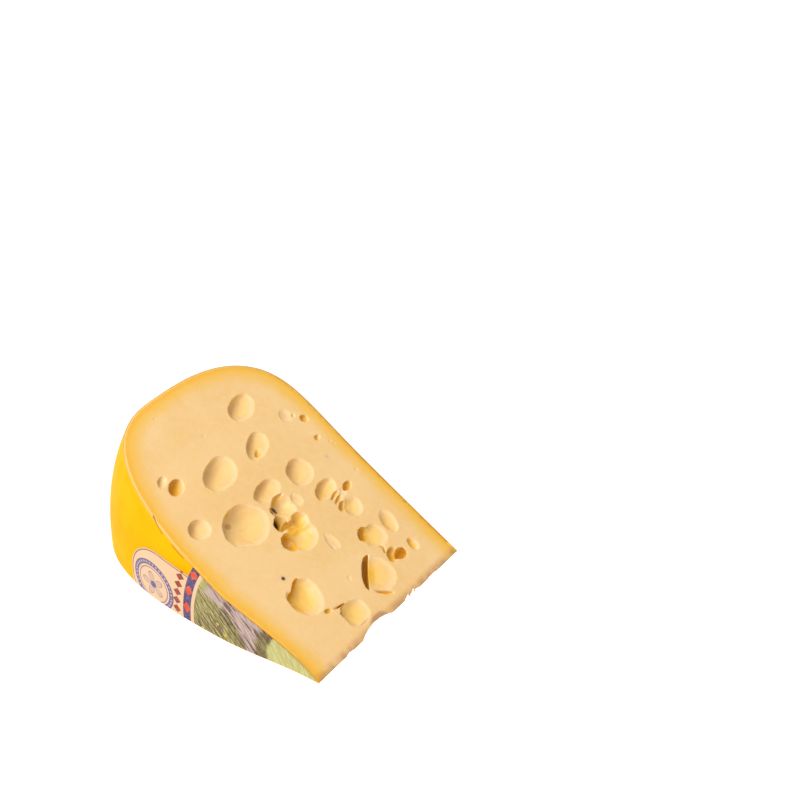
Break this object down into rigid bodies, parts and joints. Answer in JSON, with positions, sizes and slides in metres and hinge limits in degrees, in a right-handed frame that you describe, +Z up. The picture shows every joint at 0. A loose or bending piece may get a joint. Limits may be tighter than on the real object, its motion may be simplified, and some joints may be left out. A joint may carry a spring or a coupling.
{
  "type": "cheese wedge",
  "caption": "Wedge of a round hole cheese lying on a cut face, with round and oval eyes in its paste, a coated rind and a printed label on one side.",
  "frame": {"origin": "bottom centre of the whole wedge, on the surface that it lies on", "axes": "+X from the curved rim to the thin tip edge, -Y the printed side of the wheel, +Z up from the cut face that it lies on"},
  "size_m": [0.175, 0.1332, 0.0835],
  "materials": {
    "paste": "satin semi-soft cheese paste, pale cream yellow, deeper yellow close under the rind",
    "rind": "glossy bright yellow cheese coating",
    "printed_label": "thin printed sheet under a glossy coating: green, cream, blue and red fields"
  },
  "bodies": {
    "root": {"cheese": "paste", "label": "printed_label"}
  },
  "joints": []
}
